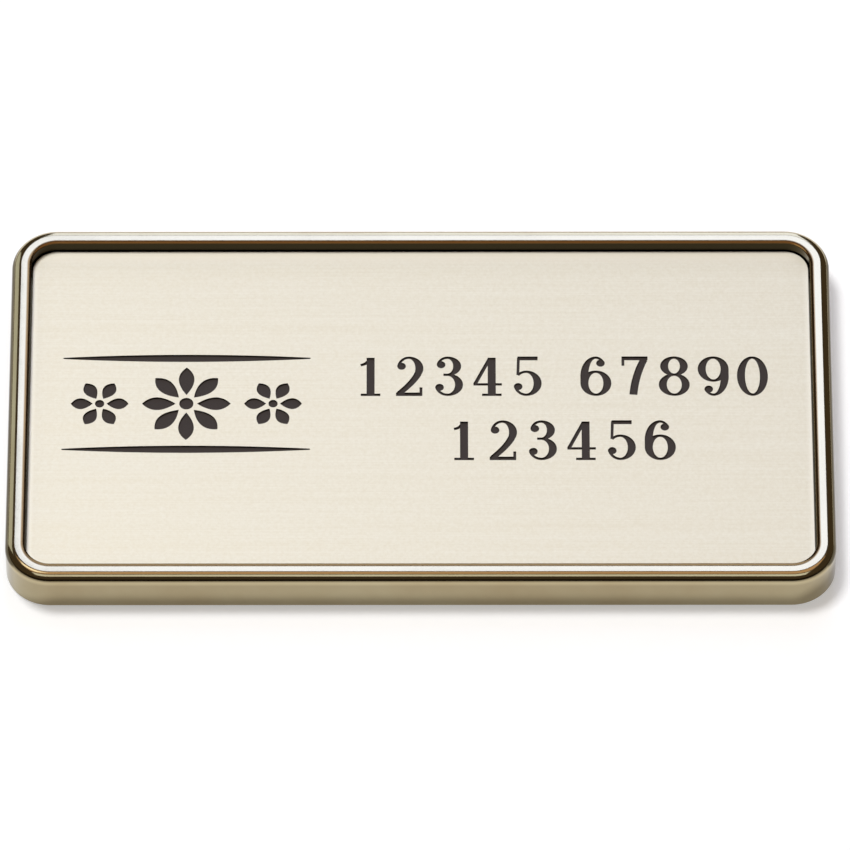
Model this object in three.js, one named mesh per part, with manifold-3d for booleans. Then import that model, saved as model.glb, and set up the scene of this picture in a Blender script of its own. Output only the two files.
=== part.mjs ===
// Name badge: a cast metal frame with a shallow engraved plate set down inside it
// and a flat steel keeper strip in the recess behind.
// Millimetres, +Z up, origin under the middle of the badge, which lies on its back.
// +X runs along the badge, and -Y is the edge nearest to a reader.

import * as THREE from 'three';
import { mergeVertices } from 'three/addons/utils/BufferGeometryUtils.js';
import Module from 'manifold-3d';

// Engraved plate
const plateLength = 75.8;
const plateWidth = 37.7;
const plateThickness = 0.8;
const plateCornerRadius = 2.35;
const engravingDepth = 0.2;

// Frame round the plate
const plateClearance = 0.1;
const plateSinkage = 1.2;
const shoulderRadius = 0.95;
const rimFlat = 0.4;
const lipWidth = 0.55;
const lipDrop = 0.1;
const floorThickness = 0.8;
const footChamfer = 0.15;

// Keeper strip of the fastener, set back from the plane that the frame rests on
const stripLength = 45;
const stripWidth = 13;
const stripThickness = 1.1;
const stripCornerRadius = 2.5;
const stripSetback = 0.6;

// Numerals, two lines on one middle
const upperLine = '12345 67890';
const lowerLine = '123456';
const numeralHeight = 4.7;
const numeralWidth = 3;
const numeralGap = 0.8;
const groupGap = 2.9;
const heavyStroke = 0.78;
const lightStroke = 0.28;
const hairStroke = 0.38;
const strokeContrast = 1.5;
const terminalRadius = 0.42;
const footSerifLength = 1.9;
const numeralMargin = 4.2;
const upperBaseline = 1.5;
const lineSpacing = 7.6;

// Ornament, three rosettes between two swelled rules
const largeRosetteRadius = 4.3;
const smallRosetteRadius = 2.8;
const rosetteGap = 1.3;
const eyeShare = 0.16;
const petalRootShare = 0.24;
const petalBulgeShare = 0.62;
const petalWidthShare = 0.46;
const ruleLength = 24;
const ruleThickness = 0.85;
const ruleEndThickness = 0.14;
const ruleGap = 1.1;
const ornamentMargin = 3.2;
const ornamentMiddleY = 0.6;

// Fineness of the round shapes, and the distance under which points are one
const cornerSegments = 12;
const roundSegments = 7;
const bowSegments = 36;
const bendSegments = 12;
const leafSegments = 8;
const mergeTolerance = 1e-5;

// Sizes that follow
const wallThickness = shoulderRadius + rimFlat + lipWidth;
const frameLength = plateLength + 2 * (plateClearance + wallThickness);
const frameWidth = plateWidth + 2 * (plateClearance + wallThickness);
const frameCornerRadius = plateCornerRadius + plateClearance + wallThickness;
const floorUnderside = stripSetback + stripThickness;
const seatHeight = floorUnderside + floorThickness;
const frameHeight = seatHeight + plateThickness + plateSinkage;

const goldPlating = new THREE.MeshStandardMaterial({ color: '#c8b184', metalness: 1, roughness: 0.12 });
const brushedGold = new THREE.MeshStandardMaterial({ color: '#e6dcc2', metalness: 0.6, roughness: 0.4 });
const plainSteel = new THREE.MeshStandardMaterial({ color: '#b4b6b8', metalness: 1, roughness: 0.35 });

// Corner points of a rounded rectangle, anticlockwise, as many for every size
function roundedRectanglePoints(length, width, radius) {
  const points = [];
  const corners = [[1, 1], [-1, 1], [-1, -1], [1, -1]];
  corners.forEach(([sideX, sideY], corner) => {
    const centreX = sideX * (length / 2 - radius);
    const centreY = sideY * (width / 2 - radius);
    for (let step = 0; step <= cornerSegments; step += 1) {
      const angle = (corner + step / cornerSegments) * Math.PI / 2;
      points.push(new THREE.Vector2(centreX + radius * Math.cos(angle), centreY + radius * Math.sin(angle)));
    }
  });
  return points;
}

function roundedBar(length, width, thickness, radius) {
  const outline = new THREE.Shape(roundedRectanglePoints(length, width, radius));
  return new THREE.ExtrudeGeometry(outline, { depth: thickness, bevelEnabled: false });
}

// Section of the frame as insets from its outer face and heights: from the seat up the
// inner wall, over the rim, down the outer wall and back in to the underside of the floor
function frameSection() {
  const section = [{ inset: wallThickness, height: seatHeight }];
  for (let step = 0; step <= roundSegments; step += 1) {
    const angle = step / roundSegments * Math.PI / 2;
    section.push({
      inset: wallThickness - lipWidth * (1 - Math.cos(angle)),
      height: frameHeight - lipDrop * (1 - Math.sin(angle)),
    });
  }
  for (let step = 0; step <= roundSegments; step += 1) {
    const angle = step / roundSegments * Math.PI / 2;
    section.push({
      inset: shoulderRadius * (1 - Math.sin(angle)),
      height: frameHeight - shoulderRadius * (1 - Math.cos(angle)),
    });
  }
  section.push({ inset: 0, height: footChamfer });
  section.push({ inset: footChamfer, height: 0 });
  section.push({ inset: wallThickness - footChamfer, height: 0 });
  section.push({ inset: wallThickness, height: footChamfer });
  section.push({ inset: wallThickness, height: floorUnderside });
  return section;
}

// The section runs round a rounded rectangle, and the flat seat and underside close it
function frameGeometry() {
  const rings = frameSection().map(({ inset, height }) => {
    const outline = roundedRectanglePoints(
      frameLength - 2 * inset,
      frameWidth - 2 * inset,
      frameCornerRadius - inset,
    );
    return outline.map((point) => [point.x, point.y, height]);
  });
  const columns = rings[0].length;
  const lastRing = rings.length - 1;
  const positions = rings.flat();
  const triangles = [];
  for (let ring = 0; ring < lastRing; ring += 1) {
    for (let column = 0; column < columns; column += 1) {
      const next = (column + 1) % columns;
      const here = ring * columns;
      const beyond = here + columns;
      triangles.push(here + column, beyond + column, beyond + next);
      triangles.push(here + column, beyond + next, here + next);
    }
  }
  const seatMiddle = positions.push([0, 0, seatHeight]) - 1;
  const undersideMiddle = positions.push([0, 0, floorUnderside]) - 1;
  for (let column = 0; column < columns; column += 1) {
    const next = (column + 1) % columns;
    triangles.push(seatMiddle, column, next);
    triangles.push(undersideMiddle, lastRing * columns + next, lastRing * columns + column);
  }
  const geometry = new THREE.BufferGeometry();
  geometry.setAttribute('position', new THREE.Float32BufferAttribute(positions.flat(), 3));
  geometry.setIndex(triangles);
  return geometry;
}

// Both sides of a broad pen's stroke along a centreline: as heavy as given where it runs
// up or down, and light where it runs across
function penSides(centreline, segments, heavy = heavyStroke) {
  const leftSide = [];
  const rightSide = [];
  for (let step = 0; step <= segments; step += 1) {
    const point = centreline.getPoint(step / segments);
    const direction = centreline.getTangent(step / segments);
    const thickness = lightStroke + (heavy - lightStroke) * Math.abs(direction.y) ** strokeContrast;
    const across = new THREE.Vector2(-direction.y, direction.x).multiplyScalar(thickness / 2);
    leftSide.push(point.clone().add(across));
    rightSide.push(point.clone().sub(across));
  }
  return { leftSide, rightSide };
}

function openStroke(centreline, segments, heavy) {
  const { leftSide, rightSide } = penSides(centreline, segments, heavy);
  return new THREE.Shape([...rightSide, ...leftSide.reverse()]);
}

// A place in a numeral is given in shares of the box that its centrelines fill
function numeralPoint(shareX, shareY) {
  return new THREE.Vector2(
    (shareX - 0.5) * (numeralWidth - heavyStroke),
    lightStroke / 2 + shareY * (numeralHeight - lightStroke),
  );
}

function straight(fromX, fromY, toX, toY, heavy) {
  return openStroke(new THREE.LineCurve(numeralPoint(fromX, fromY), numeralPoint(toX, toY)), 1, heavy);
}

function bend(from, pull, to, heavy) {
  const corners = [from, pull, to].map(([shareX, shareY]) => numeralPoint(shareX, shareY));
  return openStroke(new THREE.QuadraticBezierCurve(...corners), bendSegments, heavy);
}

// Both sides of a bow, a part of an elliptical ring: light where it runs across, and heavy
// at its right side (1), its left side (-1) or both (0). Angles are in degrees.
function bowSides(middleX, middleY, reachX, reachY, fromAngle, toAngle, heavySide) {
  const middle = numeralPoint(middleX, middleY);
  const reach = numeralPoint(middleX + reachX, middleY + reachY).sub(middle);
  const segments = Math.round(bowSegments * Math.abs(toAngle - fromAngle) / 360);
  const outerSide = [];
  const innerSide = [];
  for (let step = 0; step <= segments; step += 1) {
    const angle = THREE.MathUtils.degToRad(fromAngle + (toAngle - fromAngle) * step / segments);
    const towards = new THREE.Vector2(Math.cos(angle), Math.sin(angle));
    const upright = towards.x * heavySide < 0 ? lightStroke : heavyStroke;
    const half = new THREE.Vector2(upright / 2, lightStroke / 2);
    outerSide.push(reach.clone().add(half).multiply(towards).add(middle));
    innerSide.push(reach.clone().sub(half).multiply(towards).add(middle));
  }
  return { outerSide, innerSide };
}

function bow(...sizes) {
  const { outerSide, innerSide } = bowSides(...sizes);
  return new THREE.Shape([...outerSide, ...innerSide.reverse()]);
}

function loop(middleY, reachX, reachY) {
  const { outerSide, innerSide } = bowSides(0.5, middleY, reachX, reachY, 0, 360, 0);
  const ring = new THREE.Shape(outerSide.slice(1));
  ring.holes.push(new THREE.Path(innerSide.slice(1)));
  return ring;
}

function terminal(shareX, shareY) {
  const middle = numeralPoint(shareX, shareY);
  const dot = new THREE.Shape();
  dot.absarc(middle.x, middle.y, terminalRadius, 0, 2 * Math.PI);
  return dot;
}

function footSerif(shareX) {
  const middle = numeralPoint(shareX, 0);
  const reach = new THREE.Vector2(footSerifLength / 2, 0);
  return openStroke(new THREE.LineCurve(middle.clone().sub(reach), middle.clone().add(reach)), 1);
}

// The strokes of each numeral, which overlap where they join
const numeralStrokes = {
  0: () => [loop(0.5, 0.5, 0.5)],
  1: () => [
    straight(0.52, 0, 0.52, 1),
    bend([0.48, 0.98], [0.4, 0.83], [0.08, 0.8], hairStroke),
    footSerif(0.52),
  ],
  2: () => [
    bow(0.48, 0.71, 0.46, 0.29, 170, -38, 1),
    bend([0.878, 0.565], [0.66, 0.32], [0.04, 0.03]),
    straight(-0.08, 0, 1.07, 0),
    straight(-0.08, 0.03, 1.07, 0.03),
    straight(1.01, 0, 1.01, 0.2, lightStroke),
    terminal(0.16, 0.77),
  ],
  3: () => [
    bow(0.46, 0.77, 0.42, 0.23, 165, -90, 1),
    bow(0.46, 0.27, 0.5, 0.27, 90, -160, 1),
    straight(0.28, 0.54, 0.5, 0.54),
    terminal(0.18, 0.81),
    terminal(0.11, 0.2),
  ],
  4: () => [
    straight(0.68, 0, 0.68, 1),
    straight(0.6, 0.985, -0.06, 0.28, hairStroke),
    straight(-0.12, 0.28, 1.12, 0.28),
    footSerif(0.68),
  ],
  5: () => [
    straight(0.1, 1, 0.98, 1),
    straight(0.1, 0.96, 0.98, 0.96),
    straight(0.14, 1, 0.11, 0.53, lightStroke),
    bow(0.47, 0.31, 0.5, 0.31, 135, -160, 1),
    terminal(0.12, 0.22),
  ],
  6: () => [
    loop(0.31, 0.5, 0.31),
    straight(0, 0.31, 0, 0.5),
    bow(0.5, 0.5, 0.5, 0.5, 180, 48, -1),
    terminal(0.71, 0.85),
  ],
  7: () => [
    straight(-0.08, 1, 1.06, 1),
    straight(-0.08, 0.96, 1.06, 0.96),
    straight(-0.02, 1, -0.02, 0.78, lightStroke),
    bend([0.9, 0.95], [0.5, 0.5], [0.42, 0]),
  ],
  8: () => [loop(0.27, 0.5, 0.27), loop(0.77, 0.43, 0.23)],
  9: () => [
    loop(0.69, 0.5, 0.31),
    straight(1, 0.5, 1, 0.69),
    bow(0.5, 0.5, 0.5, 0.5, 0, -132, 1),
    terminal(0.29, 0.15),
  ],
};

// A petal is a leaf between two mirrored curves, and it points away from the eye
function petal(rootRadius, tipRadius, halfWidth) {
  const bulgeRadius = rootRadius + (tipRadius - rootRadius) * petalBulgeShare;
  const leaf = new THREE.Shape();
  leaf.moveTo(rootRadius, 0);
  leaf.quadraticCurveTo(bulgeRadius, -2 * halfWidth, tipRadius, 0);
  leaf.quadraticCurveTo(bulgeRadius, 2 * halfWidth, rootRadius, 0);
  return leaf;
}

function swelledRule() {
  const half = ruleLength / 2;
  const end = ruleEndThickness / 2;
  const swell = ruleThickness - end;
  const rule = new THREE.Shape();
  rule.moveTo(-half, -end);
  rule.quadraticCurveTo(0, -swell, half, -end);
  rule.lineTo(half, end);
  rule.quadraticCurveTo(0, swell, -half, end);
  return rule;
}

const wasm = await Module();
wasm.setup();

function solidFromGeometry(geometry) {
  geometry.deleteAttribute('normal');
  geometry.deleteAttribute('uv');
  const merged = mergeVertices(geometry, mergeTolerance);
  return new wasm.Manifold(new wasm.Mesh({
    numProp: 3,
    vertProperties: new Float32Array(merged.attributes.position.array),
    triVerts: new Uint32Array(merged.index.array),
  }));
}

function geometryFromSolid(solid) {
  const { vertProperties, triVerts } = solid.getMesh();
  const geometry = new THREE.BufferGeometry();
  geometry.setAttribute('position', new THREE.BufferAttribute(vertProperties, 3));
  geometry.setIndex(new THREE.BufferAttribute(triVerts, 1));
  return geometry;
}

// The cutter of a mark stands on the engraved floor and comes out above the plate's face
function cutter(shape, moveX, moveY, turn = 0) {
  const options = { depth: 2 * engravingDepth, bevelEnabled: false, curveSegments: leafSegments };
  const geometry = new THREE.ExtrudeGeometry(shape, options);
  geometry.rotateZ(turn);
  geometry.translate(moveX, moveY, plateThickness - engravingDepth);
  return solidFromGeometry(geometry);
}

// Distance of each numeral's middle from the first one's
function numeralOffsets(line) {
  let offset = 0;
  const offsets = [];
  for (const character of line) {
    if (character === ' ') {
      offset += groupGap;
    } else {
      offsets.push({ character, offset });
      offset += numeralWidth + numeralGap;
    }
  }
  return offsets;
}

function numeralCutters() {
  const upperLength = numeralOffsets(upperLine).at(-1).offset + numeralWidth;
  const middle = plateLength / 2 - numeralMargin - upperLength / 2;
  const lines = [
    { line: upperLine, baseline: upperBaseline },
    { line: lowerLine, baseline: upperBaseline - lineSpacing },
  ];
  return lines.flatMap(({ line, baseline }) => {
    const offsets = numeralOffsets(line);
    const firstMiddle = middle - offsets.at(-1).offset / 2;
    return offsets.flatMap(({ character, offset }) => {
      const strokes = numeralStrokes[character]();
      return strokes.map((stroke) => cutter(stroke, firstMiddle + offset, baseline));
    });
  });
}

function rosetteCutters(middleX, radius, petals) {
  const eye = new THREE.Shape();
  eye.absarc(0, 0, radius * eyeShare, 0, 2 * Math.PI);
  const halfWidth = radius * Math.sin(Math.PI / petals) * petalWidthShare;
  const leaf = petal(radius * petalRootShare, radius, halfWidth);
  const cutters = [cutter(eye, middleX, ornamentMiddleY)];
  for (let count = 0; count < petals; count += 1) {
    cutters.push(cutter(leaf, middleX, ornamentMiddleY, count / petals * 2 * Math.PI));
  }
  return cutters;
}

function ornamentCutters() {
  const middleX = ornamentMargin + ruleLength / 2 - plateLength / 2;
  const rosetteDistance = largeRosetteRadius + rosetteGap + smallRosetteRadius;
  const ruleDistance = largeRosetteRadius + ruleGap;
  return [
    ...rosetteCutters(middleX, largeRosetteRadius, 8),
    ...rosetteCutters(middleX - rosetteDistance, smallRosetteRadius, 6),
    ...rosetteCutters(middleX + rosetteDistance, smallRosetteRadius, 6),
    cutter(swelledRule(), middleX, ornamentMiddleY + ruleDistance),
    cutter(swelledRule(), middleX, ornamentMiddleY - ruleDistance),
  ];
}

function plateGeometry() {
  const blank = solidFromGeometry(roundedBar(plateLength, plateWidth, plateThickness, plateCornerRadius));
  const marks = [...numeralCutters(), ...ornamentCutters()];
  const engraving = marks.reduce((joined, mark) => joined.add(mark));
  return geometryFromSolid(blank.subtract(engraving));
}

const badge = new THREE.Group();

const frame = new THREE.Mesh(frameGeometry(), goldPlating);
frame.name = 'frame';
badge.add(frame);

const insertPlate = new THREE.Mesh(plateGeometry(), brushedGold);
insertPlate.name = 'insert_plate';
insertPlate.position.z = seatHeight;
badge.add(insertPlate);

const fastenerStrip = new THREE.Mesh(
  roundedBar(stripLength, stripWidth, stripThickness, stripCornerRadius),
  plainSteel,
);
fastenerStrip.name = 'fastener_strip';
fastenerStrip.position.z = stripSetback;
badge.add(fastenerStrip);

export default badge;
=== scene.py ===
import math
import bmesh
import bpy
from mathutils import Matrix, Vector


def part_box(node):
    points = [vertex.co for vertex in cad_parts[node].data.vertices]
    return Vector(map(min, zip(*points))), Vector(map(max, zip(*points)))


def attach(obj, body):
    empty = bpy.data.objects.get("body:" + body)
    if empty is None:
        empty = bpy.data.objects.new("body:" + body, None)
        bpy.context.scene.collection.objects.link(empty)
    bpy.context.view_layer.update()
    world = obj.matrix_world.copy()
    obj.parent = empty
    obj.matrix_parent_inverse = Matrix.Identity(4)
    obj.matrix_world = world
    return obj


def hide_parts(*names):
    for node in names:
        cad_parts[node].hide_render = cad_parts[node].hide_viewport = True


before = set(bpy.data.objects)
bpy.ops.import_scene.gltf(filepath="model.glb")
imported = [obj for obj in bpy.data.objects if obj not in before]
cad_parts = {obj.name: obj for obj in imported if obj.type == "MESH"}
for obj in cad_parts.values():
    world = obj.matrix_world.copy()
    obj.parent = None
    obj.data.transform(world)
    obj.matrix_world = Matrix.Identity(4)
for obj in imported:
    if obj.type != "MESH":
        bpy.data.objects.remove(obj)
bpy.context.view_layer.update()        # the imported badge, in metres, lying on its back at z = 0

# Name badge: a polished gold frame, a sunk brushed plate with engraved marks, and a steel strip
# behind. Pieces are drawn in millimetres and brought to metres when they are finished.
mm = 0.001


def boxInMillimetres(node):
    low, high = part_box(node)
    return low / mm, high / mm


frameLow, frameHigh = boxInMillimetres("frame")
plateLow, plateHigh = boxInMillimetres("insert_plate")
stripLow, stripHigh = boxInMillimetres("fastener_strip")
core = Vector((35.55, 16.5))      # half of the rectangle that all the round corners turn about
farOut = 5.0      # further out from the core than any outline


# Modelling helpers

def startClean():
    if bpy.context.mode != "OBJECT":
        bpy.ops.object.mode_set(mode="OBJECT")
    bpy.ops.object.select_all(action="DESELECT")


def addBlock(name, low, high):
    startClean()
    bpy.ops.mesh.primitive_cube_add(size=1, location=(low + high) / 2)
    block = bpy.context.object
    block.name = name
    block.data.name = name
    block.scale = high - low
    bpy.ops.object.transform_apply(location=True, rotation=True, scale=True)
    bpy.ops.object.mode_set(mode="EDIT")
    return block


def pickEdges(piece, wanted):      # wanted is asked about the two ends of every edge
    bpy.ops.mesh.select_mode(type="EDGE")
    bpy.ops.mesh.select_all(action="DESELECT")
    shape = bmesh.from_edit_mesh(piece.data)
    for edge in shape.edges:
        if wanted(edge.verts[0].co, edge.verts[1].co):
            edge.select_set(True)
    bmesh.update_edit_mesh(piece.data)


def pickFaces(piece, wanted):      # wanted is asked about the normal of every face
    bpy.ops.mesh.select_mode(type="FACE")
    bpy.ops.mesh.select_all(action="DESELECT")
    shape = bmesh.from_edit_mesh(piece.data)
    for face in shape.faces:
        if wanted(face.normal):
            face.select_set(True)
    bmesh.update_edit_mesh(piece.data)


def near(first, second):
    return abs(first - second) < 0.01


def insetOf(point, high, cornerRadius):      # how far a point lies in from a rounded outline
    awayX = abs(point.x) - (high.x - cornerRadius)
    awayY = abs(point.y) - (high.y - cornerRadius)
    outside = math.hypot(max(awayX, 0), max(awayY, 0))
    return cornerRadius - outside - min(max(awayX, awayY), 0)


def roundUprightEdges(piece, radius, steps):
    pickEdges(piece, lambda a, b: abs(a.z - b.z) > 0.5)
    bpy.ops.mesh.bevel(offset=radius, segments=steps, affect="EDGES")


def roundRim(piece, height, high, cornerRadius, inset, radius, steps):
    pickEdges(piece, lambda a, b: near(a.z, height) and near(b.z, height)
              and near(insetOf(a, high, cornerRadius), inset)
              and near(insetOf(b, high, cornerRadius), inset))
    bpy.ops.mesh.bevel(offset=radius, segments=steps, affect="EDGES")


def finishPiece(piece, smoothAngle=30):      # smooth shading, then metres
    startClean()
    piece.select_set(True)
    bpy.context.view_layer.objects.active = piece
    bpy.ops.object.shade_smooth_by_angle(angle=math.radians(smoothAngle))
    bpy.ops.object.modifier_add(type="WEIGHTED_NORMAL")
    piece.modifiers[-1].keep_sharp = True
    bpy.ops.object.modifier_apply(modifier=piece.modifiers[-1].name)
    piece.scale = (mm, mm, mm)
    bpy.ops.object.transform_apply(location=True, rotation=True, scale=True)


# Material helpers

class Wire:      # the output of a node, which Python's operators turn into Math nodes
    def __init__(self, finish, socket):
        self.finish = finish
        self.socket = socket

    def maths(self, operation, first, second):
        return self.finish.node("ShaderNodeMath", {"operation": operation}, {0: first, 1: second})

    def __add__(self, other):
        return self.maths("ADD", self, other)

    def __sub__(self, other):
        return self.maths("SUBTRACT", self, other)

    def __rsub__(self, other):
        return self.maths("SUBTRACT", other, self)

    def __mul__(self, other):
        return self.maths("MULTIPLY", self, other)

    def __abs__(self):
        return self.finish.node("ShaderNodeMath", {"operation": "ABSOLUTE"}, {0: self})

    __radd__ = __add__
    __rmul__ = __mul__


class Finish:      # a material and the nodes that feed its shader
    def __init__(self, name):
        self.material = bpy.data.materials.new(name)
        self.material.use_nodes = True
        self.tree = self.material.node_tree
        self.shader = self.tree.nodes["Principled BSDF"]

    def feed(self, socket, value):
        if isinstance(value, Wire):
            self.tree.links.new(value.socket, socket)
        else:
            socket.default_value = value

    def node(self, kind, settings=None, sockets=None, output=0):
        made = self.tree.nodes.new(kind)
        for key, value in (settings or {}).items():
            setattr(made, key, value)
        for key, value in (sockets or {}).items():
            self.feed(made.inputs[key], value)
        return Wire(self, made.outputs[output])

    def shade(self, **sockets):
        for key, value in sockets.items():
            self.feed(self.shader.inputs[key.replace("_", " ")], value)

    def place(self, stretch=(1, 1, 1)):      # the piece's own coordinates, times the stretch
        where = self.node("ShaderNodeTexCoord", output="Object")
        return self.node("ShaderNodeMapping", sockets={"Vector": where, "Scale": stretch})

    def axes(self, place):
        split = self.node("ShaderNodeSeparateXYZ", sockets={"Vector": place}).socket.node
        return [Wire(self, socket) for socket in split.outputs]

    def millimetres(self):
        return self.place((1 / mm, 1 / mm, 1 / mm))

    # Squared distance out from the core rectangle, distance out along X, and height
    def outward(self):
        x, y, z = self.axes(self.millimetres())
        beyondX = self.ramp(abs(x), 0.0, farOut, core.x, core.x + farOut)
        beyondY = self.ramp(abs(y), 0.0, farOut, core.y, core.y + farOut)
        return beyondX * beyondX + beyondY * beyondY, beyondX, z

    def larger(self, first, second):
        return first.maths("MAXIMUM", first, second)

    def noise(self, place, scale, detail=2.0, roughness=0.5):
        return self.node("ShaderNodeTexNoise", sockets={
            "Vector": place, "Scale": scale, "Detail": detail, "Roughness": roughness})

    def ramp(self, value, low, high, fromValue=0.0, toValue=1.0):      # a clamped change of range
        return self.node("ShaderNodeMapRange", {"clamp": True}, {
            "Value": value, "From Min": fromValue, "From Max": toValue,
            "To Min": low, "To Max": high})

    def mix(self, share, first, second):      # of two colours
        return self.node("ShaderNodeMix", {"data_type": "RGBA"}, {
            "Factor": share, 6: first, 7: second}, output=2)

    def bump(self, height, depth, under=None):      # under is the normal of a coarser bump
        sockets = {"Height": height, "Distance": depth}
        if under:
            sockets["Normal"] = under
        return self.node("ShaderNodeBump", sockets=sockets)


# Polished gold plating

goldLook = {
    "gold": (0.49, 0.42, 0.265, 1),
    "warmGold": (0.44, 0.36, 0.215, 1),
    "flatGold": (0.452, 0.382, 0.236, 1),      # even where the rim is flat
    "lipGold": (0.2, 0.12, 0.045, 1),      # painted shade: a darker brown on the lip round the plate
    "paintedShadeGold": (0.06, 0.047, 0.023, 1),      # painted shade: near black deep in the recess, also mixed in for the painted line and sides outside
    "lipReach": (2.75, 2.9),      # millimetres out from the core
    "deepHeights": (4.38, 4.49),
    "frontHeights": (1.9, 2.2),
    "wallShade": 0.27,      # painted shade: the upright sides are a little darker
    "wallHeights": (3.3, 3.7),
    "lineShade": 0.92,      # and a painted dark reflection makes them darkest in a line round the shoulder
    "lineHeights": (3.8, 4.06, 4.12, 4.2),
    "endReach": (3.4, 4.1),      # round the two ends the painted line is wider and the sides get more painted shade
    "endDrop": 0.4,
    "endRise": 0.06,
    "endShade": 1.1,
    "flatHeights": (4.44, 4.49),
    "hazeScale": 120,      # cells to the metre
    "warmHaze": (0.35, 0.7),      # where haze turns the gold warmer
    "peelScale": 1500,
    "peelDepth": 1.2e-6,
    "speckScale": 9000,
    "speckDepth": 0.35e-6,
    "hazeShare": 0.7,
    "speckShare": 0.3,
    "roughHaze": (0.35, 0.75),
    "smooth": 0.07,
    "hazy": 0.16,
    "lipRoughness": 0.03,      # added on the lip and in the recess
}


def makeGoldPlating():
    look = goldLook
    finish = Finish("gold_plating")
    place = finish.place()
    peel = finish.noise(place, look["peelScale"], detail=1.0)
    speck = finish.noise(place, look["speckScale"], detail=1.0)
    haze = finish.noise(place, look["hazeScale"], detail=3.0, roughness=0.6)
    warmth = finish.ramp(haze, 0.0, 1.0, *look["warmHaze"])
    gold = finish.mix(warmth, look["gold"], look["warmGold"])
    squareOut, beyondX, z = finish.outward()
    lipInner, lipOuter = look["lipReach"]
    # painted shade in the recess: the lip turns dark brown and the walls below it near black
    inside = (finish.ramp(squareOut, 1.0, 0.0, lipInner ** 2, lipOuter ** 2)
              * finish.ramp(z, 0.0, 1.0, *look["frontHeights"]))
    deep = finish.ramp(z, 1.0, 0.0, *look["deepHeights"])
    lineLow, lineBottom, lineTop, lineHigh = look["lineHeights"]
    wider = finish.ramp(beyondX, 0.0, 1.0, *look["endReach"])
    # painted shade on the upright sides, more of it round the two ends
    wallSide = finish.ramp(z, look["wallShade"], 0.0, *look["wallHeights"])
    wallSide = wallSide * (wider * look["endShade"] + 1.0)
    # a painted dark reflection in a band round the shoulder, lower round the two ends
    line = (finish.ramp(z + wider * look["endDrop"], 0.0, look["lineShade"], lineLow, lineBottom)
            * finish.ramp(z - wider * look["endRise"], 1.0, 0.0, lineTop, lineHigh))
    flat = finish.ramp(z, 0.0, 1.0, *look["flatHeights"])
    polished = finish.mix(flat, gold, look["flatGold"])
    # outside, the painted shade of the sides and the painted dark line
    outerGold = finish.mix(wallSide + line, polished, look["paintedShadeGold"])
    # inside, the painted shade of the lip and the recess
    innerGold = finish.mix(deep, look["lipGold"], look["paintedShadeGold"])
    wave = finish.bump(peel, look["peelDepth"])
    uneven = haze * look["hazeShare"] + speck * look["speckShare"]
    roughness = finish.ramp(uneven, look["smooth"], look["hazy"], *look["roughHaze"])
    finish.shade(
        Base_Color=finish.mix(inside, outerGold, innerGold),
        Metallic=1.0,
        Roughness=roughness + inside * look["lipRoughness"],
        Normal=finish.bump(speck, look["speckDepth"], wave),
    )
    return finish.material


# Brushed gold skin of the plate

brushLook = {
    "pale": (0.678, 0.656, 0.572, 1),
    "deep": (0.556, 0.514, 0.404, 1),
    "edge": (0.80, 0.77, 0.68, 1),      # painted light: the skin is paler round its edge, where the frame's walls shade it
    "edgeReach": (1.7, 2.3),      # millimetres out from the core
    "edgeShare": 0.5,
    "upperReach": (17.2, 18.8),      # and more so along the upper one, beneath the far wall of the frame
    "upperShare": 0.8,
    "fineStreaks": (45, 7000, 1),      # to the metre along X, Y and Z
    "broadStreaks": (12, 900, 1),
    "mottleScale": 3200,
    "fineShare": 0.3,
    "broadShare": 0.2,
    "mottleShare": 0.5,
    "toneReach": (0.3, 0.7),
    "roughness": (0.56, 0.66),
    "depth": 1.5e-6,
}


def makeBrushedGold():
    look = brushLook
    finish = Finish("brushed_gold")
    fine = finish.noise(finish.place(look["fineStreaks"]), scale=1.0, roughness=0.6)
    broad = finish.noise(finish.place(look["broadStreaks"]), scale=1.0)
    mottle = finish.noise(finish.place(), look["mottleScale"], detail=3.0, roughness=0.6)
    tone = fine * look["fineShare"] + broad * look["broadShare"] + mottle * look["mottleShare"]
    skin = finish.mix(finish.ramp(tone, 0.0, 1.0, *look["toneReach"]), look["deep"], look["pale"])
    upwards = finish.axes(finish.millimetres())[1]
    squareOut = finish.outward()[0]
    # painted light round the edge of the skin, stronger along the upper one
    edgeInner, edgeOuter = look["edgeReach"]
    edge = finish.ramp(squareOut, 0.0, look["edgeShare"], edgeInner ** 2, edgeOuter ** 2)
    upper = finish.ramp(upwards, 0.0, look["upperShare"], *look["upperReach"])
    finish.shade(
        Base_Color=finish.mix(finish.larger(edge, upper), skin, look["edge"]),
        Metallic=1.0,
        Roughness=finish.ramp(tone, *look["roughness"], *look["toneReach"]),
        Normal=finish.bump(fine, look["depth"]),
    )
    return finish.material


# Black core of the plate, which the marks bare

blackLook = {
    "black": (0.022, 0.015, 0.012, 1),
    "paleBlack": (0.045, 0.032, 0.026, 1),
    "grainScale": 14000,
    "grainDepth": 4e-6,
    "roughness": (0.45, 0.62),
    "gloss": 0.2,
}


def makeEngravingBlack():
    look = blackLook
    finish = Finish("engraving_black")
    grain = finish.noise(finish.place(), look["grainScale"])
    finish.shade(
        Base_Color=finish.mix(grain, look["black"], look["paleBlack"]),
        Roughness=finish.ramp(grain, *look["roughness"]),
        Specular_IOR_Level=look["gloss"],
        Normal=finish.bump(grain, look["grainDepth"]),
    )
    return finish.material


# Rolled steel of the strip behind

steelLook = {
    "darkSteel": (0.50, 0.50, 0.50, 1),
    "paleSteel": (0.66, 0.65, 0.63, 1),
    "lines": (60, 5000, 60),      # to the metre along X, Y and Z
    "lineShare": 0.6,
    "lineDepth": 1.5e-6,
    "patchScale": 180,
    "patchShare": 0.4,
    "unevenReach": (0.3, 0.7),
    "roughness": (0.26, 0.42),
}


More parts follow.
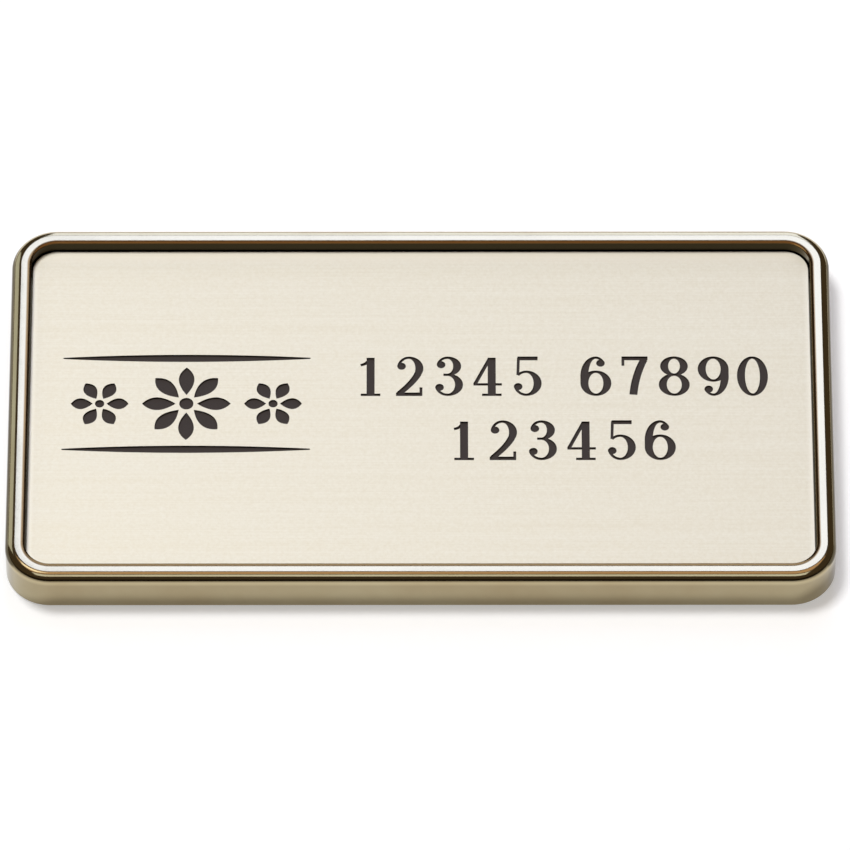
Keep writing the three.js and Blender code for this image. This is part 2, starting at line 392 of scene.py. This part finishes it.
def makePlainSteel():
    look = steelLook
    finish = Finish("plain_steel")
    lines = finish.noise(finish.place(look["lines"]), scale=1.0, roughness=0.6)
    patches = finish.noise(finish.place(), look["patchScale"], detail=3.0)
    uneven = lines * look["lineShare"] + patches * look["patchShare"]
    finish.shade(
        Base_Color=finish.mix(patches, look["darkSteel"], look["paleSteel"]),
        Metallic=1.0,
        Roughness=finish.ramp(uneven, *look["roughness"], *look["unevenReach"]),
        Normal=finish.bump(lines, look["lineDepth"]),
    )
    return finish.material


# Frame: a block with round corners, sunk from the front and from behind

frameSizes = {
    "cornerRadius": 4.35,
    "cornerSteps": 18,
    "plateClearance": 0.1,
    "shoulderRadius": 0.95,
    "lipWidth": 0.55,
    "lipDrop": 0.1,
    "footRadius": 0.15,
    "roundSteps": 12,
    "footSteps": 3,
}


def makeFrame():
    sizes = frameSizes
    wall = frameHigh.x - plateHigh.x - sizes["plateClearance"]
    piece = addBlock("frame_gold", frameLow, frameHigh)
    roundUprightEdges(piece, sizes["cornerRadius"], sizes["cornerSteps"])
    for side, depth in ((1, plateLow.z - frameHigh.z), (-1, stripHigh.z - frameLow.z)):
        pickFaces(piece, lambda normal: normal.z * side > 0.9)
        bpy.ops.mesh.inset(thickness=wall, use_even_offset=True)
        bpy.ops.mesh.extrude_region_move(TRANSFORM_OT_translate={"value": (0, 0, depth)})
    outline = (frameHigh, sizes["cornerRadius"])
    roundRim(piece, frameHigh.z, *outline, 0, sizes["shoulderRadius"], sizes["roundSteps"])
    roundRim(piece, frameHigh.z, *outline, wall, sizes["lipWidth"], sizes["roundSteps"])
    # the lip is flatter than the shoulder
    bpy.ops.transform.resize(value=(1, 1, sizes["lipDrop"] / sizes["lipWidth"]),
                             center_override=(0, 0, frameHigh.z))
    roundRim(piece, frameLow.z, *outline, 0, sizes["footRadius"], sizes["footSteps"])
    roundRim(piece, frameLow.z, *outline, wall, sizes["footRadius"], sizes["footSteps"])
    finishPiece(piece)
    piece.data.materials.append(goldPlating)
    return piece


# Marks: numerals and an ornament, drawn as flat outlines and cut into the plate

numeralSizes = {
    "upperLine": "12345 67890",
    "lowerLine": "123456",
    "height": 4.7,
    "width": 3.0,
    "gap": 0.8,
    "groupGap": 2.9,
    "heavy": 0.78,
    "light": 0.28,
    "hair": 0.38,
    "contrast": 1.5,
    "terminalRadius": 0.42,
    "footSerif": 1.9,
    "margin": 4.2,
    "upperBaseline": 1.5,
    "lineSpacing": 7.6,
    "bowSteps": 96,      # to a full turn
    "bendSteps": 20,
}

ornamentSizes = {
    "largeRadius": 4.3,
    "smallRadius": 2.8,
    "rosetteGap": 1.3,
    "eyeShare": 0.16,
    "rootShare": 0.24,
    "bulgeShare": 0.62,
    "widthShare": 0.46,
    "ruleLength": 24.0,
    "ruleThickness": 0.85,
    "ruleEnd": 0.14,
    "ruleGap": 1.1,
    "margin": 3.2,
    "middleY": 0.6,
    "largePetals": 8,
    "smallPetals": 6,
    "ruleSteps": 32,
}


def penSides(samples, heavy):      # heavy up and down, light across
    sizes = numeralSizes
    left, right = [], []
    for place, heading in samples:
        thickness = sizes["light"] + (heavy - sizes["light"]) * abs(heading.y) ** sizes["contrast"]
        across = Vector((-heading.y, heading.x)) * thickness / 2
        left.append(place + across)
        right.append(place - across)
    return left, right


def numeralPoint(shareX, shareY):      # shares of the box that a numeral's centrelines fill
    sizes = numeralSizes
    return Vector(((shareX - 0.5) * (sizes["width"] - sizes["heavy"]),
                   sizes["light"] / 2 + shareY * (sizes["height"] - sizes["light"])))


def straight(fromX, fromY, toX, toY, heavy=numeralSizes["heavy"]):
    start, end = numeralPoint(fromX, fromY), numeralPoint(toX, toY)
    heading = (end - start).normalized()
    left, right = penSides([(start, heading), (end, heading)], heavy)
    return [right + left[::-1]]


def bend(start, pull, end, heavy=numeralSizes["heavy"]):      # the middle place only pulls
    start, pull, end = numeralPoint(*start), numeralPoint(*pull), numeralPoint(*end)
    samples = []
    for step in range(numeralSizes["bendSteps"] + 1):
        share = step / numeralSizes["bendSteps"]
        first, second = start.lerp(pull, share), pull.lerp(end, share)
        samples.append((first.lerp(second, share), (second - first).normalized()))
    left, right = penSides(samples, heavy)
    return [right + left[::-1]]


# A part of an elliptical ring: heavy at its right (1), its left (-1) or both (0)
def bowSides(middleX, middleY, reachX, reachY, fromAngle, toAngle, heavySide):
    sizes = numeralSizes
    middle = numeralPoint(middleX, middleY)
    reach = numeralPoint(middleX + reachX, middleY + reachY) - middle
    steps = round(sizes["bowSteps"] * abs(toAngle - fromAngle) / 360)
    outer, inner = [], []
    for step in range(steps + 1):
        angle = math.radians(fromAngle + (toAngle - fromAngle) * step / steps)
        towards = Vector((math.cos(angle), math.sin(angle)))
        upright = sizes["light"] if towards.x * heavySide < 0 else sizes["heavy"]
        half = Vector((upright, sizes["light"])) / 2
        outer.append(middle + (reach + half) * towards)
        inner.append(middle + (reach - half) * towards)
    return outer, inner


def bow(*sizes):
    outer, inner = bowSides(*sizes)
    return [outer + inner[::-1]]


def loop(middleY, reachX, reachY):
    outer, inner = bowSides(0.5, middleY, reachX, reachY, 0, 360, 0)
    return [outer[1:], inner[1:]]


def disc(middle, radius, steps=32):
    angles = [2 * math.pi * step / steps for step in range(steps)]
    return [[middle + Vector((radius * math.cos(angle), radius * math.sin(angle)))
             for angle in angles]]


def terminal(shareX, shareY):
    return disc(numeralPoint(shareX, shareY), numeralSizes["terminalRadius"])


def footSerif(shareX):
    reach = numeralSizes["footSerif"] / 2 / (numeralSizes["width"] - numeralSizes["heavy"])
    return straight(shareX - reach, 0, shareX + reach, 0)


hair = numeralSizes["hair"]
light = numeralSizes["light"]
numeralStrokes = {
    "0": [loop(0.5, 0.5, 0.5)],
    "1": [straight(0.52, 0, 0.52, 1), footSerif(0.52),
          bend((0.48, 0.98), (0.4, 0.83), (0.08, 0.8), hair)],
    "2": [bow(0.48, 0.71, 0.46, 0.29, 170, -38, 1),
          bend((0.878, 0.565), (0.66, 0.32), (0.04, 0.03)),
          straight(-0.08, 0, 1.07, 0), straight(-0.08, 0.03, 1.07, 0.03),
          straight(1.01, 0, 1.01, 0.2, light), terminal(0.16, 0.77)],
    "3": [bow(0.46, 0.77, 0.42, 0.23, 165, -90, 1), bow(0.46, 0.27, 0.5, 0.27, 90, -160, 1),
          straight(0.28, 0.54, 0.5, 0.54), terminal(0.18, 0.81), terminal(0.11, 0.2)],
    "4": [straight(0.68, 0, 0.68, 1), straight(-0.12, 0.28, 1.12, 0.28), footSerif(0.68),
          straight(0.6, 0.985, -0.06, 0.28, hair)],
    "5": [straight(0.1, 1, 0.98, 1), straight(0.1, 0.96, 0.98, 0.96),
          straight(0.14, 1, 0.11, 0.53, light), bow(0.47, 0.31, 0.5, 0.31, 135, -160, 1),
          terminal(0.12, 0.22)],
    "6": [loop(0.31, 0.5, 0.31), straight(0, 0.31, 0, 0.53), bow(0.5, 0.5, 0.5, 0.5, 180, 48, -1),
          terminal(0.71, 0.85)],
    "7": [straight(-0.08, 1, 1.06, 1), straight(-0.08, 0.96, 1.06, 0.96),
          straight(-0.02, 1, -0.02, 0.78, light), bend((0.9, 0.95), (0.5, 0.5), (0.42, 0))],
    "8": [loop(0.27, 0.5, 0.27), loop(0.77, 0.43, 0.23)],
    "9": [loop(0.69, 0.5, 0.31), straight(1, 0.47, 1, 0.69), bow(0.5, 0.5, 0.5, 0.5, 0, -132, 1),
          terminal(0.29, 0.15)],
}


def moved(outlines, x, y, turn=0.0):
    cosine, sine = math.cos(turn), math.sin(turn)
    return [[Vector((x + point.x * cosine - point.y * sine, y + point.x * sine + point.y * cosine))
             for point in outline] for outline in outlines]


def curvedEdge(start, bulge, end, steps=16):      # a quadratic curve without its last point
    points = []
    for step in range(steps):
        share = step / steps
        rest = 1 - share
        points.append(rest ** 2 * start + 2 * share * rest * bulge + share ** 2 * end)
    return points


def numeralOffsets(line):      # each numeral's distance from the first
    offsets = []
    offset = 0
    for character in line:
        if character == " ":
            offset += numeralSizes["groupGap"]
        else:
            offsets.append((character, offset))
            offset += numeralSizes["width"] + numeralSizes["gap"]
    return offsets


def numeralRounds():      # the strokes of a numeral overlap, so each is cut in another round
    sizes = numeralSizes
    upperLength = numeralOffsets(sizes["upperLine"])[-1][1] + sizes["width"]
    middle = plateHigh.x - sizes["margin"] - upperLength / 2
    rounds = [[] for _ in range(max(len(strokes) for strokes in numeralStrokes.values()))]
    for line, baseline in ((sizes["upperLine"], sizes["upperBaseline"]),
                           (sizes["lowerLine"], sizes["upperBaseline"] - sizes["lineSpacing"])):
        offsets = numeralOffsets(line)
        firstMiddle = middle - offsets[-1][1] / 2
        for character, offset in offsets:
            for marks, stroke in zip(rounds, numeralStrokes[character]):
                marks.append(moved(stroke, firstMiddle + offset, baseline))
    return rounds


def rosetteMarks(x, y, radius, petals):
    sizes = ornamentSizes
    root, tip = Vector((radius * sizes["rootShare"], 0)), Vector((radius, 0))
    halfWidth = radius * math.sin(math.pi / petals) * sizes["widthShare"]
    bulge = root.lerp(tip, sizes["bulgeShare"])
    side = Vector((0, 2 * halfWidth))
    leaf = [curvedEdge(root, bulge - side, tip) + curvedEdge(tip, bulge + side, root)]
    marks = [moved(leaf, x, y, 2 * math.pi * count / petals) for count in range(petals)]
    return marks + [disc(Vector((x, y)), radius * sizes["eyeShare"])]


def ruleMark(x, y):      # a line that swells in the middle
    sizes = ornamentSizes
    half, end = sizes["ruleLength"] / 2, sizes["ruleEnd"] / 2
    swell = sizes["ruleThickness"] - end
    steps = sizes["ruleSteps"]
    lower = curvedEdge(Vector((-half, -end)), Vector((0, -swell)), Vector((half, -end)), steps)
    upper = curvedEdge(Vector((half, end)), Vector((0, swell)), Vector((-half, end)), steps)
    return moved([lower + [Vector((half, -end))] + upper + [Vector((-half, end))]], x, y)


def ornamentMarks():
    sizes = ornamentSizes
    x = plateLow.x + sizes["margin"] + sizes["ruleLength"] / 2
    y = sizes["middleY"]
    rosetteReach = sizes["largeRadius"] + sizes["rosetteGap"] + sizes["smallRadius"]
    ruleReach = sizes["largeRadius"] + sizes["ruleGap"]
    marks = rosetteMarks(x, y, sizes["largeRadius"], sizes["largePetals"])
    for middleX in (x - rosetteReach, x + rosetteReach):
        marks += rosetteMarks(middleX, y, sizes["smallRadius"], sizes["smallPetals"])
    return marks + [ruleMark(x, y + ruleReach), ruleMark(x, y - ruleReach)]


def makeCutters(marks, floorHeight, thickness):      # flat curves, then one mesh
    startClean()
    for mark in marks:
        curve = bpy.data.curves.new("mark", "CURVE")
        curve.dimensions = "2D"
        curve.fill_mode = "BOTH"
        curve.extrude = thickness / 2
        for outline in mark:
            spline = curve.splines.new("POLY")
            spline.points.add(len(outline) - 1)
            for point, place in zip(spline.points, outline):
                point.co = (place.x, place.y, 0, 1)
            spline.use_cyclic_u = True
        cutter = bpy.data.objects.new("mark", curve)
        cutter.location.z = floorHeight + thickness / 2
        bpy.context.collection.objects.link(cutter)
        cutter.select_set(True)
    bpy.context.view_layer.objects.active = cutter
    bpy.ops.object.convert(target="MESH")
    bpy.ops.object.join()
    cutters = bpy.context.object
    bpy.ops.object.transform_apply(location=True, rotation=True, scale=True)
    bpy.ops.object.mode_set(mode="EDIT")
    bpy.ops.mesh.select_all(action="SELECT")
    bpy.ops.mesh.remove_doubles(threshold=0.0001)
    bpy.ops.mesh.normals_make_consistent(inside=False)
    bpy.ops.object.mode_set(mode="OBJECT")
    cutters.data.materials.append(engravingBlack)
    return cutters


# Plate: a thin slab with a brushed skin over a black core, and the marks cut down into the core

plateSizes = {
    "cornerRadius": 2.35,
    "cornerSteps": 18,
    "edgeRound": 0.07,
    "edgeSteps": 3,
    "engravingDepth": 0.2,
    "skin": 0.1,
    "weld": 0.004,      # slivers up to this size go
}


def cutMarks(piece, marks):
    depth = plateSizes["engravingDepth"]
    cutters = makeCutters(marks, plateHigh.z - depth, 2 * depth)
    startClean()
    piece.select_set(True)
    bpy.context.view_layer.objects.active = piece
    bpy.ops.object.modifier_add(type="BOOLEAN")
    engrave = piece.modifiers[-1]
    engrave.operation = "DIFFERENCE"
    engrave.solver = "EXACT"
    engrave.material_mode = "TRANSFER"
    engrave.object = cutters
    bpy.ops.object.modifier_apply(modifier=engrave.name)
    bpy.data.objects.remove(cutters)


def makePlate():
    sizes = plateSizes
    piece = addBlock("insert_plate_brushed", plateLow, plateHigh)
    roundUprightEdges(piece, sizes["cornerRadius"], sizes["cornerSteps"])
    roundRim(piece, plateHigh.z, plateHigh, sizes["cornerRadius"], 0,
             sizes["edgeRound"], sizes["edgeSteps"])
    bpy.ops.object.mode_set(mode="OBJECT")
    piece.data.materials.append(brushedGold)
    piece.data.materials.append(engravingBlack)
    for marks in [ornamentMarks()] + numeralRounds():
        cutMarks(piece, marks)
    bpy.ops.object.mode_set(mode="EDIT")      # slivers left where strokes cross
    bpy.ops.mesh.select_all(action="SELECT")
    bpy.ops.mesh.remove_doubles(threshold=sizes["weld"])
    bpy.ops.mesh.dissolve_degenerate(threshold=sizes["weld"])
    bpy.ops.mesh.delete_loose()
    bpy.ops.object.mode_set(mode="OBJECT")
    skinLow = plateHigh.z - sizes["skin"]
    for face in piece.data.polygons:      # the core shows wherever the skin doesn't cover it
        covered = face.center.z > skinLow and face.normal.z > 0.3
        face.material_index = 0 if covered else 1
    finishPiece(piece)
    return piece


# Keeper strip in the recess behind

stripSizes = {
    "cornerRadius": 2.5,
    "cornerSteps": 10,
    "edgeRound": 0.18,
    "edgeSteps": 4,
}


def makeStrip():
    sizes = stripSizes
    piece = addBlock("fastener_strip_steel", stripLow, stripHigh)
    roundUprightEdges(piece, sizes["cornerRadius"], sizes["cornerSteps"])
    roundRim(piece, stripLow.z, stripHigh, sizes["cornerRadius"], 0,
             sizes["edgeRound"], sizes["edgeSteps"])
    finishPiece(piece)
    piece.data.materials.append(plainSteel)
    return piece


# Floor, light and camera

studio = {
    "elevation": 54.75,      # of the camera, in degrees
    "distance": 1.0687,
    "lens": 466.2,
    "aim": Vector((0.42, 0.39, 0)) * mm,
    "clipStart": 0.05,
    "floorSize": 6.0,
    "floorGrey": (0.73, 0.73, 0.73, 1),
    "floorPale": (0.77, 0.77, 0.77, 1),
    "floorGrain": 900,
    "floorGlow": 0.34,      # the floor is a lit table
    "lampDistance": 1.7,
    "airColour": (1.0, 0.74, 0.45, 1),
    "airStrength": 0.08,
}

softboxes = (      # azimuths run from the back towards the right
    {"name": "back_strip", "azimuth": 5, "elevation": 54.5, "width": 0.5, "height": 0.32,
     "radiance": 3.7, "colour": (0.54, 0.64, 1.0)},
    {"name": "back_sweep", "azimuth": 3, "elevation": 25, "width": 0.5, "height": 1.3,
     "radiance": 2.7, "colour": (0.62, 0.72, 1.0)},
    {"name": "key", "azimuth": -48, "elevation": 70.5, "width": 0.46, "height": 0.46,
     "radiance": 29.0, "colour": (0.965, 0.985, 1.0)},
    {"name": "soft_key", "azimuth": -48, "elevation": 70.5, "width": 0.46, "height": 0.46,
     "radiance": 1.5, "colour": (0.9, 1.0, 0.98)},
    {"name": "warm_ceiling", "azimuth": 0, "elevation": 80, "width": 1.6, "height": 0.9,
     "radiance": 0.75, "colour": (1.0, 0.66, 0.42)},
    {"name": "front_ceiling", "azimuth": 180, "elevation": 68, "width": 1.6, "height": 0.66,
     "radiance": 1.05, "colour": (0.95, 1.0, 1.0)},
    {"name": "left_card", "azimuth": -47, "elevation": 26, "width": 0.75, "height": 1.15,
     "radiance": 0.8, "colour": (0.88, 0.97, 1.0)},
)


def makeFloor():
    startClean()
    bpy.ops.mesh.primitive_plane_add(size=studio["floorSize"])
    floor = bpy.context.object
    floor.name = "studio_floor"
    finish = Finish("pale_floor")
    grain = finish.noise(finish.place(), studio["floorGrain"], detail=3.0)
    finish.shade(
        Base_Color=finish.mix(grain, studio["floorGrey"], studio["floorPale"]),
        Roughness=0.9,
        Specular_IOR_Level=0.1,
        Emission_Color=(1.0, 1.0, 1.0, 1),
        Emission_Strength=studio["floorGlow"],
    )
    floor.data.materials.append(finish.material)
    return floor


def addSoftbox(softbox):
    turn, lift = math.radians(softbox["azimuth"]), math.radians(softbox["elevation"])
    level = math.cos(lift)
    direction = Vector((math.sin(turn) * level, math.cos(turn) * level, math.sin(lift)))
    lamp = bpy.data.lights.new(softbox["name"], "AREA")
    lamp.shape = "RECTANGLE"
    lamp.size = softbox["width"]
    lamp.size_y = softbox["height"]
    lamp.color = softbox["colour"]
    lamp.energy = softbox["radiance"] * lamp.size * lamp.size_y * math.pi
    lampObject = bpy.data.objects.new(softbox["name"], lamp)
    lampObject.location = direction * studio["lampDistance"]
    lampObject.rotation_euler = direction.to_track_quat("Z", "Y").to_euler()
    bpy.context.collection.objects.link(lampObject)


def makeStudio():
    for softbox in softboxes:
        addSoftbox(softbox)
    world = bpy.data.worlds.new("studio_air")
    world.use_nodes = True
    world.node_tree.nodes["Background"].inputs["Color"].default_value = studio["airColour"]
    world.node_tree.nodes["Background"].inputs["Strength"].default_value = studio["airStrength"]
    bpy.context.scene.world = world
    bpy.context.scene.view_settings.view_transform = "Standard"


def shareKeys(polished, plain):      # polished gold has a softer key, or it would glare
    for lampName, lit in (("soft_key", polished), ("key", plain)):
        receivers = bpy.data.collections.new("lit_by_" + lampName)
        for thing in lit:
            receivers.objects.link(thing)
        bpy.data.objects[lampName].light_linking.receiver_collection = receivers


def makeCamera():
    lift = math.radians(studio["elevation"])
    cameraData = bpy.data.cameras.new("photo_camera")
    cameraData.lens = studio["lens"]
    cameraData.clip_start = studio["clipStart"]
    camera = bpy.data.objects.new("photo_camera", cameraData)
    camera.location = Vector((0, -math.cos(lift), math.sin(lift))) * studio["distance"]
    camera.rotation_euler = (studio["aim"] - camera.location).to_track_quat("-Z", "Y").to_euler()
    bpy.context.collection.objects.link(camera)
    bpy.context.scene.camera = camera


makeCamera()
floor = makeFloor()
makeStudio()
print("studio ready")

goldPlating = makeGoldPlating()
brushedGold = makeBrushedGold()
engravingBlack = makeEngravingBlack()
plainSteel = makePlainSteel()
print("finishes ready")

pieces = []
for make, node, slotName in ((makeFrame, "frame", "gold_plating"),
                             (makePlate, "insert_plate", "brushed_gold"),
                             (makeStrip, "fastener_strip", "plain_steel")):
    piece = make()
    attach(piece, "root")
    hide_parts(node)
    pieces.append(piece)
    print(piece.name, "has", len(piece.data.polygons), "faces")

shareKeys(pieces[:1], pieces[1:] + [floor])      # the frame comes first
print("keys shared")
